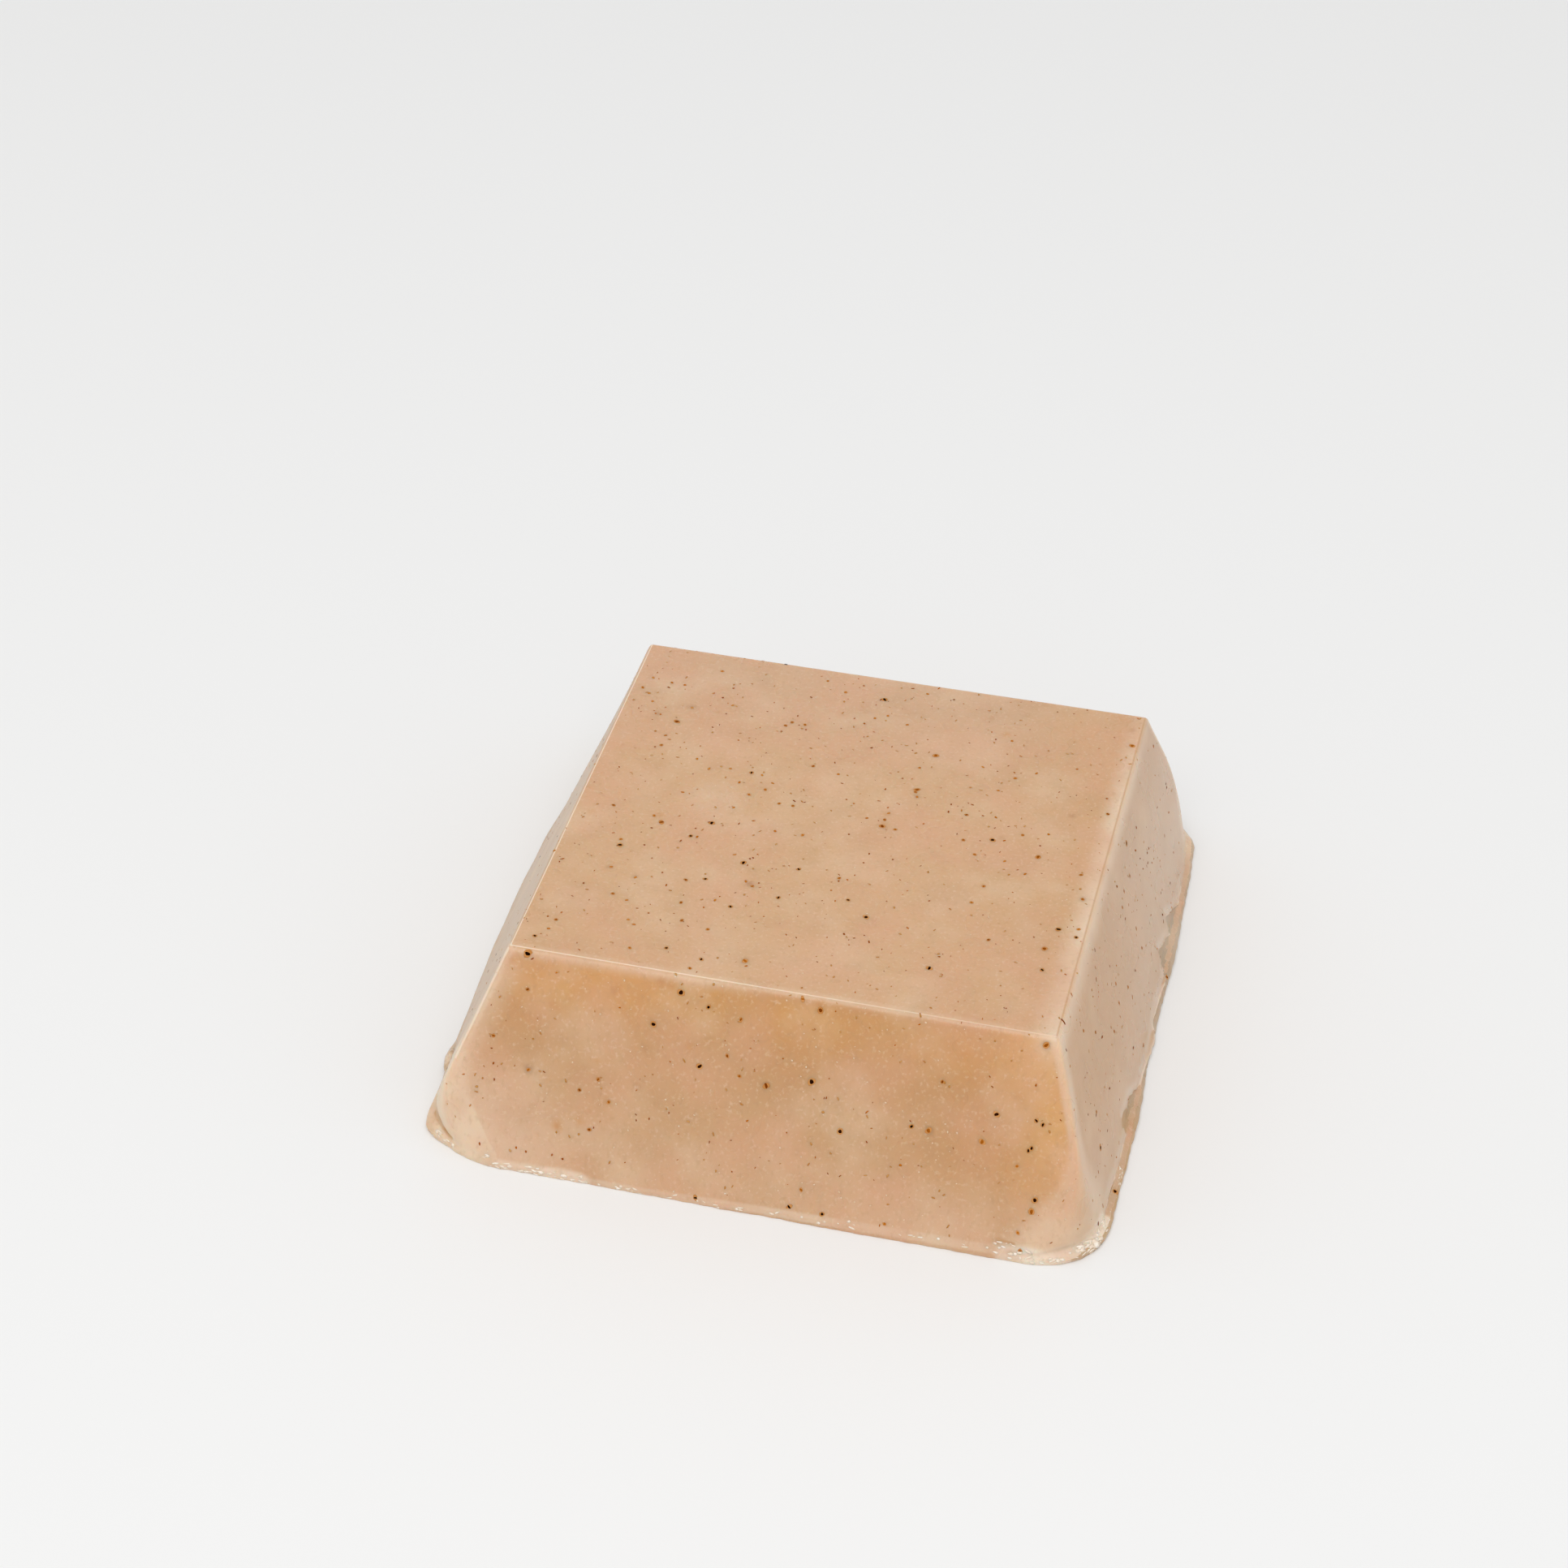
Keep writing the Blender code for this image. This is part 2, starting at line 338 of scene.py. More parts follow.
def from_line(places, line):
    """How far each point lies from a line through a few landed pixels."""
    nearest = np.full(len(places), 1.0)
    for start, end in zip(line, line[1:]):
        start, run = np.array(start), np.array(end - start)
        share = np.clip((places - start) @ run / (run @ run), 0, 1)
        nearest = np.minimum(nearest, np.linalg.norm(places - start - share[:, None] * run, axis=1))
    return nearest


def from_spot(places, place):
    """How far each point lies from one place."""
    return np.linalg.norm(places - np.array(place), axis=1)


fold_line = land_all(form, FOLD_PIXELS)
wrinkle_line = land_all(form, WRINKLE_PIXELS)
seam_line = land_all(form, SEAM_PIXELS)
flap_line = sorted(land_all(form, FLAP_PIXELS), key=lambda place: place.y)
flap_along = [place.y for place in flap_line]
flap_heights = [place.z for place in flap_line]


def above_flap(places):
    """How far each point of the right wall lies above the flap's edge."""
    return places[:, 2] - np.interp(places[:, 1], flap_along, flap_heights)


places, facings = read(block)
level = facings.copy()
level[:, 2] = 0
level /= np.maximum(np.linalg.norm(level, axis=1), 1e-6)[:, None]
on_wall = 1 - rise(facings[:, 2], *FACING_UP)
right = rise(facings[:, 0], *FACING_SIDEWAYS) * on_wall
up_flap = above_flap(places)
hang = np.where(up_flap > 0, np.exp(-np.clip(up_flap, 0, 1) / FLAP_FALL), UNDER_FLAP)
on_lip = 1 - rise(places[:, 2], 0.8 * LIP_TOP, 1.5 * LIP_TOP)
rough = np.array([noise.noise(Vector(place) * LIP_ROUGH_RATE) for place in places])
slow = np.array([noise.noise(Vector(place) * SKIN_WAVE_RATE) for place in places])
push = right * FLAP_HANG * hang * (1 - rise(places[:, 2], *FLAP_FADE))
not_left = 1 - rise(-facings[:, 0], *FACING_LEFT)
rough_share = LEFT_ROUGH_SHARE + (1 - LEFT_ROUGH_SHARE) * not_left
push += on_wall * (on_lip * LIP_ROUGH * rough * rough_share + SKIN_WAVE * slow * not_left)
for line, depth in ((fold_line, FOLD_DEPTH), (wrinkle_line, SEAM_DEPTH), (seam_line, SEAM_DEPTH)):
    push -= depth * np.exp(-(from_line(places, line) / FOLD_WIDTH) ** 2)
from_lip_end = from_spot(places, land(form, LIP_END_PIXEL)[0])
push -= LIP_END_INWARD * on_lip * np.exp(-(from_lip_end / LIP_END_REACH) ** 2)
moved = places + level * push[:, None]
block.data.vertices.foreach_set("co", moved.ravel())
block.data.update()
surface = as_tree(block.data)

# The paste's colours, with light painted in. It lets light through, so corners, edges and thin
# places are painted cream, as highlights and as light coming through, and a painted orange glow of
# light through the paste lies under the front's top edge and beside its right corner. Below, each
# colour is laid over the last by a share, which rises from one place in metres to the next.
TOP_PASTE = (0.650, 0.408, 0.230)
TOP_BACK_PASTE = (0.640, 0.412, 0.255)
TOP_RIGHT_PASTE = (0.620, 0.375, 0.195)
FRONT_PASTE = (0.597, 0.363, 0.190)
UPPER_GLOW = (0.575, 0.302, 0.124)
SIDE_PASTE = (0.565, 0.335, 0.168)
# The next two colours are painted light: a grey sheen, and the pale floor's reflection on the left wall.
GREY_SHEEN = (0.610, 0.425, 0.285)
LEFT_REFLECTION = (0.605, 0.455, 0.335)
FOOT_PASTE = (0.655, 0.425, 0.260)
LEFT_FOOT_PASTE = (0.725, 0.530, 0.375)
# The next two colours are a painted glow: light coming through the paste.
GLOW = (0.650, 0.345, 0.110)
CORNER_GLOW = (0.690, 0.395, 0.160)
# The next two colours paint highlights and light coming through the corners and edges; the first also
# colours the pale blotch on the top.
CREAM = (0.780, 0.620, 0.460)
FAN_CREAM = (0.765, 0.585, 0.415)
LIP_PASTE = (0.500, 0.315, 0.150, 1)
LIP_FAR = (0.450, 0.335, 0.225, 1)
FLAP_HIGHLIGHT = (0.680, 0.535, 0.420)
WET_PASTE = (0.850, 0.730, 0.590)
LOBE_PASTE = (0.720, 0.500, 0.325)
BROWN_STAIN = (0.350, 0.140, 0.040)
ORANGE_STAIN = (0.560, 0.230, 0.025)
BLOTCH_PIXEL = (880, 985)
BLOTCH_RADIUS = 0.0050
FACING_RIGHT = (0.45, 0.75)
PATCH_RATES = (110, 60, 110)
CORNER_STEP = 0.0010
BEHIND_EDGE = 0.00025
RIDGE_BAND = 0.00085
SIDE_SPREAD = 2.2
FOOT_FAN = 0.0060
FAN_START = 0.0125
GLOW_DEPTH = 0.0055
GLOW_STRONG_TO = -0.0150
RIGHT_EDGE_BAND = 0.0036
RIGHT_EDGE_NARROWS = 0.0012

# The wet foot is pale along three runs of pixels: run, reach, strength.
CORNER_FOOT = (
    (1240, 1547), (1262, 1550), (1290, 1556), (1318, 1550), (1340, 1540), (1355, 1524), (1361, 1508),
)
LEFT_FOOT = ((601, 1434), (628, 1440), (657, 1445), (690, 1449), (716, 1455))
FRONT_FOOT = ((716, 1455), (790, 1469), (900, 1486), (1060, 1512), (1235, 1541))
PALE_RUNS = ((CORNER_FOOT, 0.0014, 1.00), (LEFT_FOOT, 0.0010, 0.85), (FRONT_FOOT, 0.0006, 0.35))

# The painted glow is strongest in patches: pixel, radius, strength.
GLOW_PATCHES = (
    ((758, 1210), 0.0028, 0.75), ((690, 1200), 0.0022, 0.45), ((824, 1222), 0.0022, 0.60),
    ((650, 1196), 0.0030, 0.50), ((880, 1236), 0.0018, 0.40), ((960, 1248), 0.0016, 0.30),
    ((1020, 1256), 0.0014, 0.30),
)

# Specks that lie deeper show as soft brown or orange stains: pixel, radius, strength.
BROWN_SPOTS = (
    ((853, 871), 0.00045, 0.50), ((804, 833), 0.00050, 0.40), ((811, 879), 0.00050, 0.35),
    ((820, 905), 0.00040, 0.35), ((1096, 1002), 0.00050, 0.30), ((751, 1068), 0.00045, 0.35),
    ((1129, 981), 0.00045, 0.35), ((795, 1292), 0.00040, 0.35), ((756, 1222), 0.00040, 0.50),
    ((785, 1339), 0.00045, 0.35), ((816, 1210), 0.00045, 0.30), ((1234, 1032), 0.00045, 0.35),
    ((1263, 1076), 0.00045, 0.35), ((923, 1089), 0.00055, 0.60), ((1321, 1005), 0.00045, 0.50),
    ((1266, 881), 0.00040, 0.30), ((651, 1317), 0.00060, 0.80), ((1145, 1393), 0.00050, 0.60),
    ((918, 1184), 0.00050, 0.50), ((944, 1338), 0.00045, 0.50), ((1334, 1108), 0.00045, 0.50),
    ((1289, 1288), 0.00050, 0.70), ((1153, 931), 0.00045, 0.45), ((783, 1080), 0.00040, 0.40),
    ((1287, 1169), 0.00045, 0.40), ((1395, 900), 0.00050, 0.40),
)

ORANGE_SPOTS = (
    ((687, 1387), 0.00060, 0.75), ((714, 1382), 0.00055, 0.45), ((749, 1357), 0.00050, 0.60),
    ((828, 1214), 0.00055, 0.80), ((815, 1209), 0.00045, 0.60), ((738, 1331), 0.00045, 0.70),
    ((850, 1290), 0.00045, 0.50), ((736, 1307), 0.00045, 0.45), ((762, 1218), 0.00050, 0.60),
    ((1011, 1245), 0.00060, 0.80), ((1012, 1236), 0.00050, 0.50), ((680, 1238), 0.00050, 0.40),
    ((1210, 1092), 0.00060, 0.50), ((1089, 1017), 0.00060, 0.60), ((1091, 1003), 0.00050, 0.50),
    ((813, 1004), 0.00050, 0.40), ((1292, 1431), 0.00050, 0.45), ((1190, 1300), 0.00050, 0.35),
    ((1240, 905), 0.00060, 0.35), ((729, 1000), 0.00070, 0.35),
)

places, facings = read(block)
across, along, up = places.T
below = BLOCK_HEIGHT - up
on_top = rise(facings[:, 2], *FACING_UP)
front = rise(-facings[:, 1], *FACING_SIDEWAYS) * (1 - on_top)
right = rise(facings[:, 0], *FACING_RIGHT) * (1 - on_top)
on_left = rise(-facings[:, 0], *FACING_LEFT)
patches = np.array([noise.noise(Vector(np.multiply(place, PATCH_RATES))) for place in places])


def behind_corner(sign):
    """How far each point lies back from the outermost point of a corner at its height."""
    reach = sign[0] * across + sign[1] * along
    band = (up / CORNER_STEP).astype(int)
    furthest = [np.flatnonzero(band == step)[reach[band == step].argmax()] for step in np.unique(band)]
    return np.interp(up, up[furthest], reach[furthest]) - reach


def from_edge(first, second):
    """How far each point lies from the straight edge between two of the top's corners."""
    start = top_corners[first].xy
    run = (top_corners[second].xy - start).normalized()
    inward = (across - start.x) * run.y - (along - start.y) * run.x
    return np.hypot(inward, below)


def lay_colour(colour, share):
    """Mix a colour over the painted ones, by a share for each point."""
    colours[:] += (np.array(colour) - colours) * np.clip(share, 0, 1)[:, None]


def paint(name, values):
    """Keep a value for each vertex of the block."""
    layer = block.data.attributes.new(name, "FLOAT", "POINT")
    layer.data.foreach_set("value", np.asarray(values, dtype=np.float32))


behind = {sign: behind_corner(sign) for sign in CORNERS}
front_edge = from_edge((-1, -1), (1, -1))
right_edge = from_edge((1, -1), (1, 1))
left_edge = from_edge((-1, 1), (-1, -1))

# The top, paler towards the back and deeper towards the right.
colours = np.tile(np.array(FRONT_PASTE), (len(places), 1))
lay_colour(TOP_PASTE, on_top)
lay_colour(TOP_BACK_PASTE, on_top * rise(along, 0.005, 0.028))
lay_colour(TOP_RIGHT_PASTE, 0.8 * on_top * rise(across, 0.014, 0.026))

# The other walls, greyer towards the back and near the foot with a painted sheen, and greyer
# on the left with a painted reflection of the pale floor.
side = (1 - front) * (1 - on_top)
lay_colour(SIDE_PASTE, side)
lower = 1 - rise(up, 0.004, 0.019)
far = rise(along, -0.020, 0.032) * (0.85 + 0.5 * patches) * (0.60 + 0.55 * lower)
lay_colour(GREY_SHEEN, side * far)
lay_colour(GREY_SHEEN, 0.55 * side * (1 - rise(up, 0.003, 0.011)))
lay_colour(LEFT_REFLECTION, side * on_left)

# The front, deeper towards the top and the right with a painted glow of light through the paste,
# paler at the foot and the left.
upper = rise(up, 0.009, 0.018) * (0.7 + 0.6 * patches)
righter = 0.8 * rise(across, 0.012, 0.026) * rise(up, 0.002, 0.009)
lay_colour(UPPER_GLOW, 0.85 * front * np.maximum(upper, righter))
lay_colour(FOOT_PASTE, 0.75 * front * (1 - rise(up, 0.002, 0.010)))
lefter = 1 - rise(across, -0.030, -0.018)
lay_colour(LEFT_FOOT_PASTE, 0.8 * front * lefter * (1 - rise(up, 0.004, 0.013)))

# A painted highlight: a pale band along the flap's edge.
above = above_flap(places)
flap_highlight_band = right * rise(above, -0.0001, 0.0001) * (1 - rise(above, 0.0005, 0.0016))
lay_colour(FLAP_HIGHLIGHT, 0.75 * flap_highlight_band)

# The painted glow of light through the paste under the top edge, a thin painted highlight in cream
# over it, and the painted glow beside the corner.
weaker = 0.50 * rise(across, GLOW_STRONG_TO - 0.004, GLOW_STRONG_TO + 0.004)
glow = rise(across, -0.0310, -0.0270) * (1 - weaker)
glow = glow * rise(below, 0.0003, 0.0012) * (1 - rise(below, 0.45 * GLOW_DEPTH, 1.3 * GLOW_DEPTH))
lay_colour(GLOW, 0.8 * front * glow * (0.90 + 0.7 * patches))
for pixel, radius, strength in GLOW_PATCHES:
    away = from_spot(places, land(surface, pixel)[0])
    lay_colour(GLOW, strength * (1 - rise(away, 0.2 * radius, 1.3 * radius)))
under_edge = front * (1 - rise(below, 0.0003, 0.0013)) * (1 - rise(across, -0.012, 0.004))
lay_colour(CREAM, 0.50 * under_edge)
corner_glow = rise(behind[1, -1], BEHIND_EDGE, 0.0009) * (1 - rise(behind[1, -1], 0.0015, 0.0100))
corner_glow = corner_glow * rise(up, 0.0030, 0.0095)
lay_colour(CORNER_GLOW, front * corner_glow * (0.90 + 0.5 * patches))

# Painted highlights in cream on the four corners, which fan out at the foot, and along the top's
# edges: light caught on the rounded corners and edges, and light coming through them.
fan = 1 - rise(up, 0.0, FAN_START)
for sign in CORNERS:
    spread = 1 + SIDE_SPREAD * right if sign == (1, -1) else 1
    width = RIDGE_BAND * spread + FOOT_FAN * fan
    band = (1 - rise(behind[sign], 0.35 * width, width)) * (1 - on_top)
    lay_colour(CREAM, 0.60 * band * (1 - fan))
    lay_colour(FAN_CREAM, 0.85 * band * fan)
left_fade = front * (1 - rise(behind[-1, -1], 0.0004, 0.0036)) * (1 - rise(up, 0.0200, 0.0215))
lay_colour(CREAM, 0.42 * left_fade)
band_width = RIGHT_EDGE_BAND - RIGHT_EDGE_NARROWS * rise(along, -0.030, 0.005)
beside_edge = (1 - rise(right_edge / band_width, 0.0, 1.1)) * (1 - 0.6 * rise(along, 0.018, 0.030))
lay_colour(CREAM, 0.85 * beside_edge * on_top)
lay_colour(FAN_CREAM, 0.90 * beside_edge * (1 - on_top))
lay_colour(CREAM, 0.30 * (1 - rise(front_edge, 0.0003, 0.0009)))

# The wet foot, the lobe, a pale blotch on the top and the stains.
for run, reach, strength in PALE_RUNS:
    from_run = from_line(places, land_all(surface, run))
    lay_colour(WET_PASTE, strength * (1 - rise(from_run / reach, 0.6, 1.2)))
lobe = (1 - rise(up, 0.0022, 0.0036)) * (1 - rise(across - BLOCK_LOW.x, 0.0025, 0.0040))
lobe = lobe * rise(-along, 0.033, 0.036)
lay_colour(LOBE_PASTE, 0.9 * lobe)
blotch = from_spot(places, land(surface, BLOTCH_PIXEL)[0]) / BLOTCH_RADIUS
lay_colour(CREAM, 0.30 * on_top * (1 - rise(blotch, 0.25, 1.0)))
for stain, spots in ((BROWN_STAIN, BROWN_SPOTS), (ORANGE_STAIN, ORANGE_SPOTS)):
    for pixel, radius, strength in spots:
        away = from_spot(places, land(surface, pixel)[0])
        lay_colour(stain, strength * (1 - rise(away, 0.1 * radius, 1.5 * radius)))

layer = block.data.color_attributes.new("paste_colour", "FLOAT_COLOR", "POINT")
layer.data.foreach_set("color", np.hstack([colours, np.ones((len(colours), 1))]).ravel())

# Sharp-sided marks are painted as distances in tenths of a millimetre, and the material
# finds their edges: the painted highlight on the cream foot of the front left corner, the flap, and the
# edges.
CREAM_PIXELS = ((590, 1240), (578, 1290), (572, 1325), (577, 1350), (590, 1380), (603, 1408), (612, 1422))
CREAM_BLURRED_FROM = 0.0075
CREAM_LIMIT = 6
TENTH = 0.0001
FAR_OFF = 20

cream_line = sorted(land_all(surface, CREAM_PIXELS), key=lambda place: place.z)
cream_x = np.interp(up, [place.z for place in cream_line], [place.x for place in cream_line])
softness = 0.0001 + 0.0016 * rise(up, 0.6 * CREAM_BLURRED_FROM, 1.8 * CREAM_BLURRED_FROM)
paint("cream_side", np.clip((cream_x - across) / softness, -CREAM_LIMIT, CREAM_LIMIT))
cream_zone = rise(-along, 0.030, 0.036) * (1 - rise(up, 0.0090, 0.0160)) * (across < 0)
paint("cream_zone", cream_zone * (1 - 0.8 * lobe))
paint("up_flap", np.clip(np.where(right > 0.1, above / TENTH, FAR_OFF), -FAR_OFF, FAR_OFF))
paint("far_lip", rise(along, -0.021, -0.007))
# How strong the painted highlight along the top's front and left edges is, fading towards the right.
rim_share = 0.88 - 0.40 * rise(across, -0.008, 0.022)
paint("highlight_share", np.where(left_edge < front_edge, 0.95, rim_share))
nearest_edge = np.minimum(front_edge, left_edge)
ridge_line = np.where(up > 0.010, behind[-1, -1] / TENTH, FAR_OFF)
for name, tenths in (
    ("right_edge", right_edge / TENTH),
    ("edge_highlight", nearest_edge / TENTH),
    ("ridge_highlight", ridge_line),
    ("from_fold", from_line(places, fold_line) / TENTH),
    ("from_wrinkle", from_line(places, wrinkle_line) / TENTH),
    ("from_seam", from_line(places, seam_line) / TENTH),
):
    paint(name, np.clip(tenths, 0, FAR_OFF))

# The left wall is duller and has no grain. Light goes less deep where the paste is wet or
# where a sharp mark would blur.
paint("grainy", (1 - on_left) * (1 - 0.65 * right))
paint("dull", on_left)
wet = 1 - rise(up, 0.6 * LIP_TOP, 1.4 * LIP_TOP)
crisp = 1 - rise(nearest_edge, 0.0003, 0.0007)
crisp = np.maximum(crisp, 1 - rise(right_edge, 0.0004, 0.0009))
crisp = np.maximum(crisp, 1 - rise(ridge_line, 1.5, 4.0))
crisp = np.maximum(crisp, right * (1 - rise(np.abs(above), 0.0004, 0.0010)))
paint("shallow", np.maximum(wet, crisp))

# The next colour is a painted highlight on the front left corner's foot.
CREAM_FOOT = (0.790, 0.635, 0.465, 1)
PINK_GRAIN = (0.685, 0.390, 0.240, 1)
PALE_GRAIN = (0.780, 0.600, 0.430, 1)
DARK_GRAIN = (0.480, 0.280, 0.140, 1)
# The next colour is a painted highlight along the top's edges, the left ridge and the flap's rim.
RIM_HIGHLIGHT = (0.930, 0.790, 0.650, 1)
# The next three colours are painted shade: in the fold and the wrinkle, along the seam, and in the fine
# crease along the right top edge.
FOLD_SHADE = (0.560, 0.290, 0.100, 1)
SEAM_SHADE = (0.560, 0.330, 0.170, 1)
CREASE_SHADE = (0.520, 0.290, 0.130, 1)
MOTTLE_SCALE = 150.0
GRAIN_SCALE = 1900.0
GRAIN_SQUASH = (1.0, 1.0, 0.5)
SKIN_SCALE = 500.0
SKIN_BUMP = 0.12
SKIN_BUMP_HEIGHT = 0.0001
PASTE_IOR = 1.45
LIGHT_REACH = (1.0, 0.58, 0.38)
LIGHT_DEPTH = 0.0014
SHALLOW_DEPTH = 0.0001
DULLER_BY = 0.28


def new_material(name):
    """A new material, its nodes and its shader."""
    material = bpy.data.materials.new(name)
    material.use_nodes = True
    return material, material.node_tree, material.node_tree.nodes["Principled BSDF"]


def add_noise(tree, scale, detail, squash=(1, 1, 1)):
    """Fractal noise on the piece's own coordinates."""
    coordinates = tree.nodes.new("ShaderNodeTexCoord")
    mapping = tree.nodes.new("ShaderNodeMapping")
    mapping.inputs["Scale"].default_value = squash
    texture = tree.nodes.new("ShaderNodeTexNoise")
    texture.inputs["Scale"].default_value = scale
    texture.inputs["Detail"].default_value = detail
    tree.links.new(coordinates.outputs["Object"], mapping.inputs["Vector"])
    tree.links.new(mapping.outputs["Vector"], texture.inputs["Vector"])
    return texture.outputs["Fac"]


def add_range(tree, value, low, high, to_low=0.0, to_high=1.0):
    """Stretch the part of a value between low and high."""
    stretch = tree.nodes.new("ShaderNodeMapRange")
    stretch.inputs["From Min"].default_value = low
    stretch.inputs["From Max"].default_value = high
    stretch.inputs["To Min"].default_value = to_low
    stretch.inputs["To Max"].default_value = to_high
    tree.links.new(value, stretch.inputs["Value"])
    return stretch.outputs["Result"]


def add_mix(tree, share, first, second):
    """Mix two colours, each a value or the output of a node."""
    blend = tree.nodes.new("ShaderNodeMix")
    blend.data_type = "RGBA"
    tree.links.new(share, blend.inputs["Factor"])
    for socket, colour in ((blend.inputs[6], first), (blend.inputs[7], second)):
        if isinstance(colour, tuple):
            socket.default_value = colour
        else:
            tree.links.new(colour, socket)
    return blend.outputs[2]


def add_painted(tree, name, output="Fac"):
    """A value or a colour painted on the vertices."""
    reader = tree.nodes.new("ShaderNodeAttribute")
    reader.attribute_name = name
    return reader.outputs[output]


def add_arithmetic(tree, operation, first, second):
    """Two values added or multiplied."""
    result = tree.nodes.new("ShaderNodeMath")
    result.operation = operation
    tree.links.new(first, result.inputs[0])
    tree.links.new(second, result.inputs[1])
    return result.outputs[0]


def add_product(tree, first, second):
    """Two values multiplied."""
    return add_arithmetic(tree, "MULTIPLY", first, second)


# The painted colour, the painted highlight on the cream foot, the lip under the flap's edge, and
# the painted highlight along the flap's rim.
tofu, tree, shader = new_material("sesame_tofu")
shader.inputs["IOR"].default_value = PASTE_IOR
shader.inputs["Subsurface Weight"].default_value = 1.0
shader.inputs["Subsurface Radius"].default_value = LIGHT_REACH
colour = add_painted(tree, "paste_colour", "Color")
cream = add_range(tree, add_painted(tree, "cream_side"), -1.0, 1.0, 0.0, 0.85)
colour = add_mix(tree, add_product(tree, cream, add_painted(tree, "cream_zone")), colour, CREAM_FOOT)
on_flap = add_range(tree, add_painted(tree, "up_flap"), 0.3, -0.3, 0.0, 0.8)
lip_colour = add_mix(tree, add_painted(tree, "far_lip"), LIP_PASTE, LIP_FAR)
colour = add_mix(tree, on_flap, colour, lip_colour)
flap_rim_highlight = add_product(
    tree,
    add_range(tree, add_painted(tree, "up_flap"), -0.3, 0.3),
    add_range(tree, add_painted(tree, "up_flap"), 2.6, 0.6, 0.0, 0.55),
)
colour = add_mix(tree, flap_rim_highlight, colour, RIM_HIGHLIGHT)

# Cloudy mottling in the paste, and fine grain in its skin. Each noise begins to show at one
# value and is full at the next, up to a strength.
grainy = add_painted(tree, "grainy")
lighter = add_range(tree, add_noise(tree, MOTTLE_SCALE, 4.0), 0.48, 0.70, 0.0, 0.30)
colour = add_mix(tree, lighter, colour, PALE_GRAIN)
darker = add_range(tree, add_noise(tree, MOTTLE_SCALE * 1.7, 4.0), 0.48, 0.72, 0.0, 0.22)
colour = add_mix(tree, darker, colour, DARK_GRAIN)
pinker = add_range(tree, add_noise(tree, MOTTLE_SCALE * 0.8, 2.0), 0.42, 0.66, 0.0, 0.45)
colour = add_mix(tree, add_product(tree, pinker, grainy), colour, PINK_GRAIN)
streaks = add_range(tree, add_noise(tree, GRAIN_SCALE, 3.0, GRAIN_SQUASH), 0.54, 0.75, 0.0, 0.26)
colour = add_mix(tree, add_product(tree, streaks, grainy), colour, DARK_GRAIN)
sparks = add_range(tree, add_noise(tree, GRAIN_SCALE * 1.3, 2.0), 0.56, 0.74, 0.0, 0.36)
colour = add_mix(tree, add_product(tree, sparks, grainy), colour, PALE_GRAIN)

# The lines along the edges, folds and seams: painted highlights along the edges and the left ridge,
# and painted shade in the right edge's crease, the fold, the wrinkle and the seam. Where each begins
# and is full, and how strong.
crease_shade = add_range(tree, add_painted(tree, "right_edge"), 1.6, 0.6, 0.0, 0.50)
colour = add_mix(tree, crease_shade, colour, CREASE_SHADE)
bright = add_range(tree, add_painted(tree, "edge_highlight"), 1.15, 0.4)
bright = add_product(tree, bright, add_painted(tree, "highlight_share"))
colour = add_mix(tree, bright, colour, RIM_HIGHLIGHT)
for name, begins, full, strength, line_colour in (
    ("ridge_highlight", 0.8, 0.2, 0.60, RIM_HIGHLIGHT),
    ("from_fold", 3.4, 0.4, 0.85, FOLD_SHADE),
    ("from_wrinkle", 2.4, 0.4, 0.70, FOLD_SHADE),
    ("from_seam", 5.0, 0.4, 0.25, SEAM_SHADE),
):
    share = add_range(tree, add_painted(tree, name), begins, full, 0.0, strength)
    colour = add_mix(tree, share, colour, line_colour)
tree.links.new(colour, shader.inputs["Base Color"])

# How deep the light goes, how glossy the skin is, and its fine roughness.
depth = add_range(tree, add_painted(tree, "shallow"), 0.0, 1.0, LIGHT_DEPTH, SHALLOW_DEPTH)
tree.links.new(depth, shader.inputs["Subsurface Scale"])
gloss = add_range(tree, add_noise(tree, MOTTLE_SCALE, 2.0), 0.3, 0.7, 0.24, 0.34)
duller = add_range(tree, add_painted(tree, "dull"), 0.0, 1.0, 0.0, DULLER_BY)
tree.links.new(add_arithmetic(tree, "ADD", gloss, duller), shader.inputs["Roughness"])
skin = tree.nodes.new("ShaderNodeBump")
tree.links.new(add_range(tree, grainy, 0.0, 1.0, 0.0, SKIN_BUMP), skin.inputs["Strength"])
skin.inputs["Distance"].default_value = SKIN_BUMP_HEIGHT
tree.links.new(add_noise(tree, SKIN_SCALE, 4.0, GRAIN_SQUASH), skin.inputs["Height"])
tree.links.new(skin.outputs["Normal"], shader.inputs["Normal"])

block.data.materials.clear()
block.data.materials.append(tofu)
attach(block, "root")
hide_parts("sesame_tofu")


# ---- The sesame flecks -------------------------------------------------------------------
# Bits of roasted sesame hull, ground with the paste and set in it flush with the surface.
# The darkest are burnt black, most are rust brown or orange and the faintest tan, and a few
# are pale bits of kernel. Those that stand out lie where the photograph shows them.

BIG = 0.00034
MID = 0.00029
SMALL = 0.00022
FINE = 0.00019
TINY = 0.00015
BIT_UNEVEN = 0.16
FLAKE_THICKNESS = 0.28
FLAKE_SUNK = 0.12
HALO_GROWTH = 1.6
HALO_THICKNESS = 0.06
HALO_SUNK = 0.025
HALO_LONGEST = 1.6
SHORT = 1.8
LONG = 3.0
LEFT_SHARE = 0.35
HIDDEN_BLACK_SIZES = (MID, SMALL, FINE)
HIDDEN_RUST_SIZES = (SMALL, FINE, FINE)
RIGHT_RADII = (0.00016, 0.00028)
COARSE_RADII = (0.00013, 0.00022)
DUST_RADII = (0.00006, 0.00015)
TAN_RADII = (0.00010, 0.00023)
PALE_RADII = (0.00007, 0.00015)
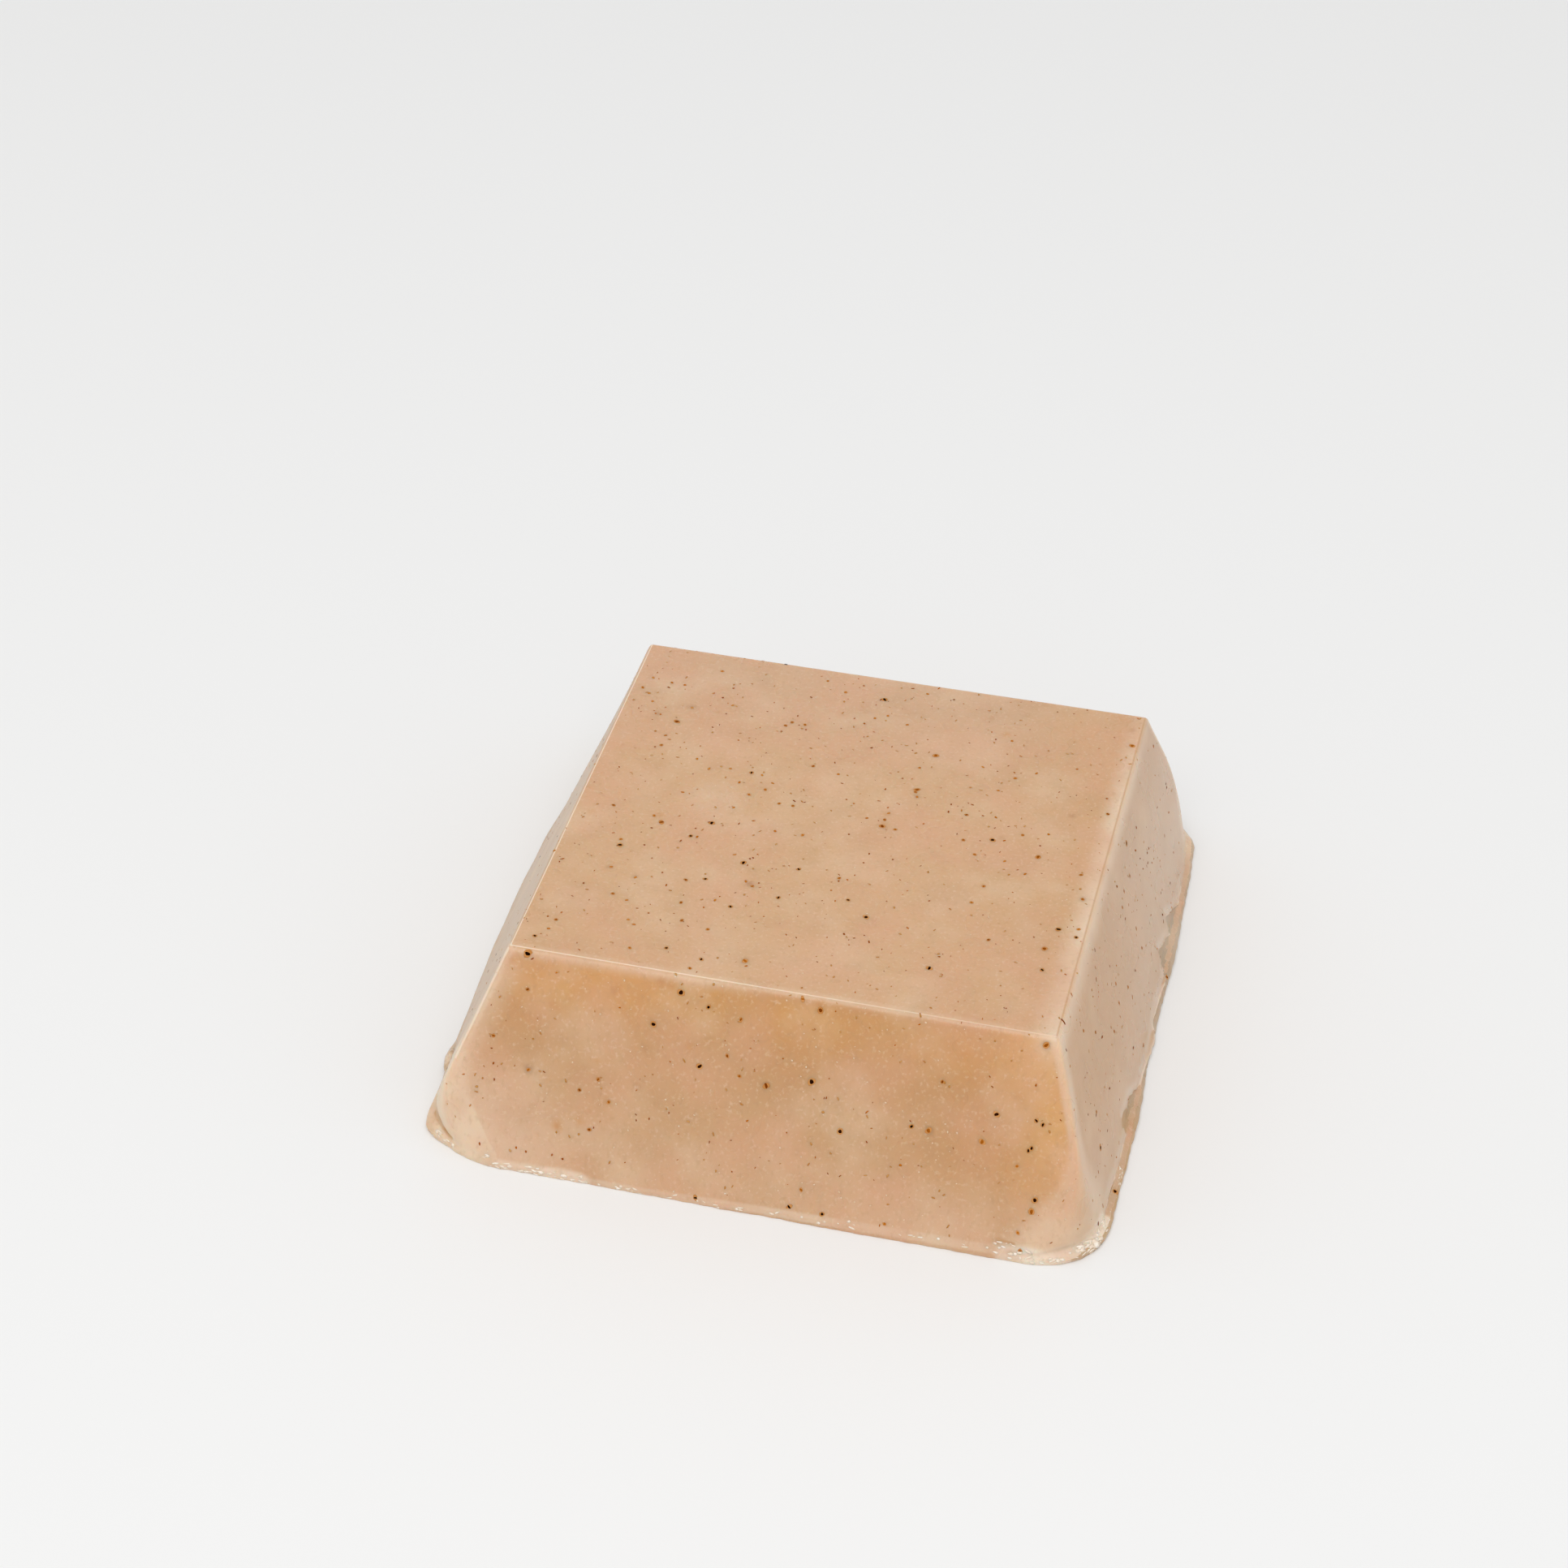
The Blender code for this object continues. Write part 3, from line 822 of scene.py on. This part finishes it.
FACING_WALL = 0.5
FACING_TOP = 0.9
FLECK_SHINE = 0.0
FLECK_VARIATION = 420.0
FLECK_ROUGHNESS = 0.8
HALO_ROUGHNESS = 0.5
PALE_ROUGHNESS = 0.35
BLACK_COLOURS = ((0.003, 0.001, 0.0005, 1), (0.035, 0.007, 0.001, 1))
RUST_COLOURS = ((0.190, 0.040, 0.003, 1), (0.450, 0.135, 0.010, 1))
DUST_COLOURS = ((0.270, 0.060, 0.003, 1), (0.500, 0.150, 0.010, 1))
HALO_COLOURS = ((0.530, 0.225, 0.062, 1), (0.600, 0.285, 0.100, 1))
ORANGE_COLOURS = ((0.470, 0.150, 0.015, 1), (0.560, 0.230, 0.045, 1))
TAN_COLOURS = ((0.490, 0.215, 0.050, 1), (0.580, 0.305, 0.105, 1))
PALE_COLOURS = ((0.740, 0.530, 0.330, 1), (0.820, 0.650, 0.460, 1))

# How many are strewn at random, and the seed that places them.
HIDDEN_BLACK = (26, 3)
HIDDEN_RUST = (60, 5)
RIGHT_RUST = (45, 17)
COARSE = (80, 8)
COARSE_ON_TOP = (20, 10)
DUST = (520, 9)
DUST_ON_TOP = (110, 11)
TAN = (700, 34)
PALE_ON_FRONT = (120, 13)
PALE = (150, 14)

# Where the photograph shows the ones that stand out.
BLACK_BIG = ((839, 1223), (650, 1175), (1000, 1333))
BLACK_MID = (
    (1304, 1145), (877, 1014), (1067, 1130), (1228, 1373), (916, 1063), (1223, 1035), (1145, 1193),
    (862, 1314), (1035, 1394), (1388, 1039), (1090, 862), (1275, 1479), (1374, 1468), (764, 1041),
    (805, 1262), (1356, 1414),
)
BLACK_SMALL = (
    (926, 952), (1285, 1386), (1277, 1381), (1267, 1418), (1271, 1415), (851, 1030), (959, 1106),
    (1284, 1195), (900, 1117), (984, 1071), (972, 1487), (1013, 1496), (857, 1476), (1045, 1109),
    (864, 1182), (1326, 1155), (1123, 1388), (873, 1241), (659, 1153), (821, 1168), (869, 1083),
)
RUST_MID = (
    (1144, 1393), (918, 1184), (1289, 1288), (1011, 1245), (1153, 931), (815, 1013), (1210, 1407),
    (1287, 1169), (1087, 1018), (834, 889), (1279, 1056), (1130, 973), (1271, 1493), (1395, 919),
    (944, 1338),
)
RUST_SMALL = (
    (608, 1276), (1251, 959), (989, 1029), (1260, 1029), (685, 1133), (913, 1256), (896, 1301),
    (1218, 1158), (1090, 1010), (1034, 1082), (850, 1193), (989, 1231), (1002, 944), (968, 894),
    (776, 1168), (911, 1326), (1332, 1078), (1253, 1437), (1257, 1542), (987, 1466), (923, 979),
    (1329, 1145), (960, 990), (977, 993), (872, 1145), (765, 1034), (650, 1219), (1212, 1092),
    (755, 1101), (1254, 1519), (1161, 1333), (737, 1330), (750, 1358), (1042, 853), (1334, 1108),
    (1197, 1112), (1201, 1053), (1191, 1004), (815, 918), (1409, 1288), (1090, 1508), (1379, 1236),
    (1392, 1079), (1385, 1098), (1383, 1118), (1400, 1144), (1407, 1168), (1375, 1212), (1390, 1216),
    (1373, 1271), (1350, 1272), (1335, 1270), (1438, 1204), (1351, 1370), (714, 1343), (726, 1392),
    (651, 1318), (890, 827), (756, 992), (845, 1084), (1365, 1003), (792, 847), (1103, 1022),
    (1187, 1035), (840, 1134), (839, 1112), (976, 890), (992, 893), (927, 1092), (943, 973),
    (1128, 976), (806, 1005),
)
RUST_TINY = (
    (636, 1414), (648, 1419), (680, 1423), (693, 1428), (608, 1310), (609, 1330), (808, 879),
    (814, 880), (807, 920), (904, 848), (880, 854), (878, 896), (983, 882), (963, 901), (993, 899),
    (910, 912), (1112, 959), (1094, 995), (1138, 1015), (1172, 991), (1211, 1005), (1227, 911),
    (1222, 902), (1250, 952), (1044, 1084), (1029, 1110), (1024, 1097), (1145, 1110), (1100, 1059),
    (1046, 1028), (1052, 990), (1043, 985), (803, 1020), (794, 1041), (816, 1075), (799, 1125),
    (675, 1129), (692, 1124), (935, 1088), (924, 1058), (928, 1057), (867, 1118), (785, 1119),
    (719, 1088), (1071, 1052), (1064, 1063), (763, 945),
)
ORANGE_SMALL = (
    (805, 835), (828, 841), (800, 854), (844, 844), (853, 872), (820, 906), (903, 869), (804, 864),
    (1133, 946), (1130, 982), (1095, 1002), (1068, 1008), (1227, 1007), (1230, 974), (1211, 945),
    (1247, 913), (1277, 953), (1238, 1061), (1263, 1077), (1292, 1028), (1033, 954), (783, 1081),
    (753, 1068), (772, 1109), (881, 1109), (774, 1133), (781, 1139), (676, 1144), (841, 976),
    (874, 947), (900, 947), (911, 964), (904, 995), (683, 1048), (859, 935), (905, 1053), (919, 1086),
    (859, 1031), (1020, 839), (1078, 885), (1094, 882), (1143, 855), (1118, 893), (952, 965),
    (955, 1024), (939, 955),
)


def bit_shape(cuts, thickness, seed):
    """The points and faces of one uneven bit, about two units across before it is flattened."""
    bpy.ops.object.select_all(action="DESELECT")
    bpy.ops.mesh.primitive_ico_sphere_add(subdivisions=1, radius=1.0, location=(0, 0, 0))
    bit = bpy.context.active_object
    bpy.ops.object.mode_set(mode="EDIT")
    bpy.ops.mesh.select_all(action="SELECT")
    if cuts:
        bpy.ops.mesh.subdivide(number_cuts=cuts, smoothness=1.0)
    bpy.ops.transform.vertex_random(offset=BIT_UNEVEN, seed=seed)
    bpy.ops.transform.resize(value=(1.0, 1.0, thickness))
    bpy.ops.object.mode_set(mode="OBJECT")
    points = np.array([v.co[:] for v in bit.data.vertices])
    faces = np.array([p.vertices[:] for p in bit.data.polygons])
    bpy.data.objects.remove(bit)
    return points, faces


FLAKE = bit_shape(1, FLAKE_THICKNESS, 4)
SPECK = bit_shape(0, FLAKE_THICKNESS, 4)
HALO = bit_shape(1, HALO_THICKNESS, 6)


def lay(place, normal, radius, draw, longest=SHORT, sunk_share=FLAKE_SUNK, shape=FLAKE, tilt=math.pi):
    """One bit's points and faces, laid flat in the surface and turned by up to the tilt."""
    stretch = draw.uniform(1.0, longest) ** 0.5
    turn = Matrix.Rotation(draw.uniform(-tilt, tilt), 3, "Z")
    size = Matrix.Diagonal((radius * stretch, radius / stretch, radius))
    to_surface = normal.to_track_quat("Z", "Y").to_matrix() @ turn @ size
    sunk = np.array(place - normal * radius * sunk_share)
    return shape[0] @ np.array(to_surface).T + sunk, shape[1]


def join_bits(name, laid):
    """All bits of one kind as one mesh."""
    mesh = bpy.data.meshes.new(name)
    points = np.concatenate([bit[0] for bit in laid])
    starts = np.cumsum([0] + [len(bit[0]) for bit in laid])
    faces = np.concatenate([bit[1] + start for bit, start in zip(laid, starts)])
    points[:, 2] = np.maximum(points[:, 2], SMALLEST_HEIGHT)
    mesh.from_pydata(points.tolist(), [], faces.tolist())
    mesh.update()
    piece = bpy.data.objects.new(name, mesh)
    bpy.context.scene.collection.objects.link(piece)
    only(piece)
    bpy.ops.object.shade_smooth()
    return piece


def random_places(count, seed, wanted):
    """Places spread evenly over the faces of the block that are wanted."""
    faces = [p for p in block.data.polygons if p.center.z > LIP_TOP and wanted(p.center, p.normal)]
    areas = np.array([p.area * (LEFT_SHARE if p.normal.x < -FACING_WALL else 1.0) for p in faces])
    chooser = np.random.default_rng(seed)
    places = []
    for index in chooser.choice(len(faces), size=count, p=areas / areas.sum()):
        corners = [block.data.vertices[i].co for i in faces[index].vertices]
        a, b = chooser.random(2)
        edge = corners[0].lerp(corners[1], a)
        far_edge = corners[-1].lerp(corners[-2], a)
        places.append((edge.lerp(far_edge, b), faces[index].normal.copy()))
    return places


def listed(pixels, radius, draw):
    """Flakes at pixels of the photograph."""
    return [lay(*land(surface, pixel), radius, draw) for pixel in pixels]


def strewn(spots, radii, draw, longest=LONG, shape=SPECK):
    """Bits at the places drawn for them, each with a size of its own."""
    return [lay(*spot, draw.uniform(*radii), draw, longest, shape=shape) for spot in spots]


def add_flecks(name, laid, hull, colours, roughness=FLECK_ROUGHNESS):
    """One kind of flecks, joined. The colour differs a little from one fleck to the next."""
    flecks = join_bits(name, laid)
    material, tree, shader = new_material(hull)
    shader.inputs["Roughness"].default_value = roughness
    shader.inputs["Specular IOR Level"].default_value = FLECK_SHINE
    share = add_range(tree, add_noise(tree, FLECK_VARIATION, 1.0), 0.38, 0.62)
    tree.links.new(add_mix(tree, share, *colours), shader.inputs["Base Color"])
    flecks.data.materials.append(material)
    return flecks


def is_hidden(place, normal):
    """The walls that the photograph doesn't show."""
    return normal.y > FACING_WALL or normal.x < -FACING_WALL


def anywhere(place, normal):
    return True


def on_front(place, normal):
    return normal.y < -FACING_WALL


def on_right(place, normal):
    return normal.x > FACING_WALL


def on_top_face(place, normal):
    return normal.z > FACING_TOP


fleck_draw = random.Random(21)
black = listed(BLACK_BIG, BIG, fleck_draw) + listed(BLACK_MID, MID, fleck_draw)
black += listed(BLACK_SMALL, SMALL, fleck_draw)
for spot in random_places(*HIDDEN_BLACK, is_hidden):
    black.append(lay(*spot, fleck_draw.choice(HIDDEN_BLACK_SIZES), fleck_draw))
black_flecks = add_flecks("black_flecks", black, "black_hull", BLACK_COLOURS)

rust = listed(RUST_MID, MID, fleck_draw) + listed(RUST_SMALL, FINE, fleck_draw)
for spot in random_places(*HIDDEN_RUST, is_hidden):
    rust.append(lay(*spot, fleck_draw.choice(HIDDEN_RUST_SIZES), fleck_draw))
rust += strewn(random_places(*RIGHT_RUST, on_right), RIGHT_RADII, fleck_draw, shape=FLAKE)
rust_flecks = add_flecks("rust_flecks", rust, "rust_hull", RUST_COLOURS)

dust = listed(RUST_TINY, TINY, fleck_draw)
coarse_places = random_places(*COARSE, anywhere) + random_places(*COARSE_ON_TOP, on_top_face)
dust += strewn(coarse_places, COARSE_RADII, fleck_draw)
dust_places = random_places(*DUST, anywhere) + random_places(*DUST_ON_TOP, on_top_face)
dust += strewn(dust_places, DUST_RADII, fleck_draw)
rust_specks = add_flecks("rust_specks", dust, "rust_dust", DUST_COLOURS)

# The hull's oil and colour stain the paste round a fleck.
halos = []
ringed = ((BLACK_BIG, BIG), (BLACK_MID + RUST_MID, MID), (BLACK_SMALL, SMALL), (RUST_SMALL, FINE))
for pixels, radius in ringed:
    for pixel in pixels:
        spot = land(surface, pixel)
        halos.append(lay(*spot, radius * HALO_GROWTH, fleck_draw, HALO_LONGEST, HALO_SUNK, HALO))
fleck_halos = add_flecks("fleck_halos", halos, "stained_paste", HALO_COLOURS, HALO_ROUGHNESS)

orange = listed(ORANGE_SMALL, SMALL, fleck_draw)
orange_flecks = add_flecks("orange_flecks", orange, "orange_hull", ORANGE_COLOURS)
tan = strewn(random_places(*TAN, anywhere), TAN_RADII, fleck_draw)
tan_flecks = add_flecks("tan_flecks", tan, "tan_hull", TAN_COLOURS)
pale_places = random_places(*PALE_ON_FRONT, on_front) + random_places(*PALE, anywhere)
pale = strewn(pale_places, PALE_RADII, fleck_draw, SHORT)
pale_flecks = add_flecks("pale_flecks", pale, "pale_kernel", PALE_COLOURS, PALE_ROUGHNESS)

all_kinds = (black_flecks, rust_flecks, rust_specks, fleck_halos, orange_flecks, tan_flecks, pale_flecks)
for flecks in all_kinds:
    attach(flecks, "root")


# ---- The wet scraps ----------------------------------------------------------------------
# Where the lip tore on its way out of the tub, small wet crumbs of pale paste cling to the
# foot: along the front beside the left corner, and round the right corner. Each run is a
# line of pixels, the number of scraps spread along it, and their size.

SCRAP_RUNS = (
    (LEFT_FOOT, 40, 0.00028),
    (FRONT_FOOT, 46, 0.00022),
    (
        ((1238, 1545), (1262, 1550), (1290, 1556), (1318, 1550), (1340, 1540), (1357, 1523), (1363, 1506)),
        52,
        0.00028,
    ),
    (((1322, 1541), (1334, 1535), (1346, 1530), (1353, 1524)), 20, 0.00034),
    (((1338, 1545), (1349, 1537), (1358, 1527)), 24, 0.00030),
    (((1230, 1533), (1240, 1535), (1249, 1537)), 7, 0.00024),
    (((1361, 1512), (1375, 1465), (1384, 1440)), 16, 0.00018),
    (((538, 1396), (548, 1402), (556, 1409)), 14, 0.00024),
    (((596, 1421), (601, 1425)), 5, 0.00022),
)
SCRAP_SPREAD = 3.2
SCRAP_SIZES = (0.35, 1.15)
SCRAP_LONGEST = 5.0
SCRAP_SUNK = 0.05
SCRAP_THICKNESS = 0.28
SCRAP_TILT = 0.5
SHORT_OF_END = 1.001
WET_SCALE = 1900.0
WET_GLOSS_SCALE = 900.0
WET_DARK = (0.850, 0.700, 0.550, 1)
WET_GLINT = (0.960, 0.870, 0.760, 1)
LUMP = bit_shape(0, SCRAP_THICKNESS, 9)

scrap_draw = random.Random(52)
scraps = []
for run, count, radius in SCRAP_RUNS:
    for _ in range(count):
        step = scrap_draw.uniform(0, len(run) - SHORT_OF_END)
        start, end = run[int(step)], run[int(step) + 1]
        across_x = mix(start[0], end[0], step % 1) + scrap_draw.gauss(0, SCRAP_SPREAD)
        down_y = mix(start[1], end[1], step % 1) + scrap_draw.gauss(0, SCRAP_SPREAD)
        place, facing = land(surface, (across_x, down_y))
        if place is not None:
            size = radius * scrap_draw.uniform(*SCRAP_SIZES)
            scrap = lay(place, facing, size, scrap_draw, SCRAP_LONGEST, SCRAP_SUNK, LUMP, SCRAP_TILT)
            scraps.append(scrap)
wet_scraps = join_bits("wet_scraps", scraps)
wet_paste, tree, shader = new_material("wet_paste")
# The paler colour is a painted highlight that stands in for glints on the wet paste.
share = add_range(tree, add_noise(tree, WET_SCALE, 2.0), 0.50, 0.62)
tree.links.new(add_mix(tree, share, WET_DARK, WET_GLINT), shader.inputs["Base Color"])
gloss = add_range(tree, add_noise(tree, WET_GLOSS_SCALE, 1.0), 0.3, 0.7, 0.08, 0.22)
tree.links.new(gloss, shader.inputs["Roughness"])
wet_scraps.data.materials.append(wet_paste)
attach(wet_scraps, "root")


# ---- The dried drops ---------------------------------------------------------------------
# Thin paste that ran down the left wall and dried on its lip: a glassy tan drop near the
# front corner, and two crumbs behind it. Each lies along the lip, half sunk in it. A drop
# is a pixel and its half sizes.

DROPS = (
    ((552, 1309), (0.00085, 0.00220, 0.00110)),
    ((567, 1271), (0.00030, 0.00080, 0.00045)),
    ((573, 1258), (0.00030, 0.00070, 0.00050)),
)
DROP_TURN = math.radians(11)
DROP_INWARD = 0.0004
DROP_UNEVEN = 0.05
DRIED_SCALE = 700.0
DRIED_DARK = (0.520, 0.350, 0.200, 1)
DRIED_PALE = (0.740, 0.580, 0.420, 1)
DRIED_LIGHT_REACH = (1.0, 0.7, 0.5)
DRIED_LIGHT_DEPTH = 0.0003
DRIED_ROUGHNESS = 0.15

drop_parts = []
for pixel, half_sizes in DROPS:
    place = land(surface, pixel)[0] + Vector((DROP_INWARD, 0, 0))
    turn = (0, 0, DROP_TURN)
    bpy.ops.mesh.primitive_ico_sphere_add(subdivisions=3, radius=1.0, location=place, rotation=turn)
    part = bpy.context.active_object
    bpy.ops.object.mode_set(mode="EDIT")
    bpy.ops.transform.vertex_random(offset=DROP_UNEVEN, seed=3)
    bpy.ops.object.mode_set(mode="OBJECT")
    part.scale = half_sizes
    bpy.ops.object.transform_apply(location=True, rotation=True, scale=True)
    drop_parts.append(part)
for part in drop_parts:
    part.select_set(True)
bpy.ops.object.join()
bpy.ops.object.shade_smooth()
dried_drops = bpy.context.active_object
dried_drops.name = "dried_drops"
dried_drops.data.name = "dried_drops"
dried_paste, tree, shader = new_material("dried_paste")
shader.inputs["Subsurface Weight"].default_value = 1.0
shader.inputs["Subsurface Radius"].default_value = DRIED_LIGHT_REACH
shader.inputs["Subsurface Scale"].default_value = DRIED_LIGHT_DEPTH
shader.inputs["Roughness"].default_value = DRIED_ROUGHNESS
share = add_range(tree, add_noise(tree, DRIED_SCALE, 3.0), 0.40, 0.60)
tree.links.new(add_mix(tree, share, DRIED_DARK, DRIED_PALE), shader.inputs["Base Color"])
dried_drops.data.materials.append(dried_paste)
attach(dried_drops, "root")


# ---- The floor and the light -------------------------------------------------------------
# A wide, pale, matt floor just under the block, one large soft light over its front, and an
# even white sky.

FLOOR_SIZE = 6.0
FLOOR_DROP = 0.00002
FLOOR_COLOUR = (0.865, 0.865, 0.860, 1)
FLOOR_ROUGHNESS = 0.6
LIGHT_PLACE = Vector((0.05, -0.50, 1.0))
LIGHT_SIZE = 0.9
LIGHT_POWER = 5.5
SKY_STRENGTH = 0.70

bpy.ops.object.select_all(action="DESELECT")
bpy.ops.mesh.primitive_plane_add(size=FLOOR_SIZE, location=(0, 0, -FLOOR_DROP))
floor = bpy.context.active_object
floor.name = "floor"
floor_paint, tree, shader = new_material("pale_floor")
shader.inputs["Base Color"].default_value = FLOOR_COLOUR
shader.inputs["Roughness"].default_value = FLOOR_ROUGHNESS
floor.data.materials.append(floor_paint)

light_data = bpy.data.lights.new("key_light", "AREA")
light_data.shape = "SQUARE"
light_data.size = LIGHT_SIZE
light_data.energy = LIGHT_POWER
light = bpy.data.objects.new("key_light", light_data)
bpy.context.scene.collection.objects.link(light)
light.location = LIGHT_PLACE
light.rotation_euler = (-LIGHT_PLACE).to_track_quat("-Z", "Y").to_euler()

world = bpy.data.worlds.new("studio")
world.use_nodes = True
sky = world.node_tree.nodes["Background"]
sky.inputs["Color"].default_value = (1, 1, 1, 1)
sky.inputs["Strength"].default_value = SKY_STRENGTH
bpy.context.scene.world = world
bpy.context.scene.view_settings.view_transform = "Standard"
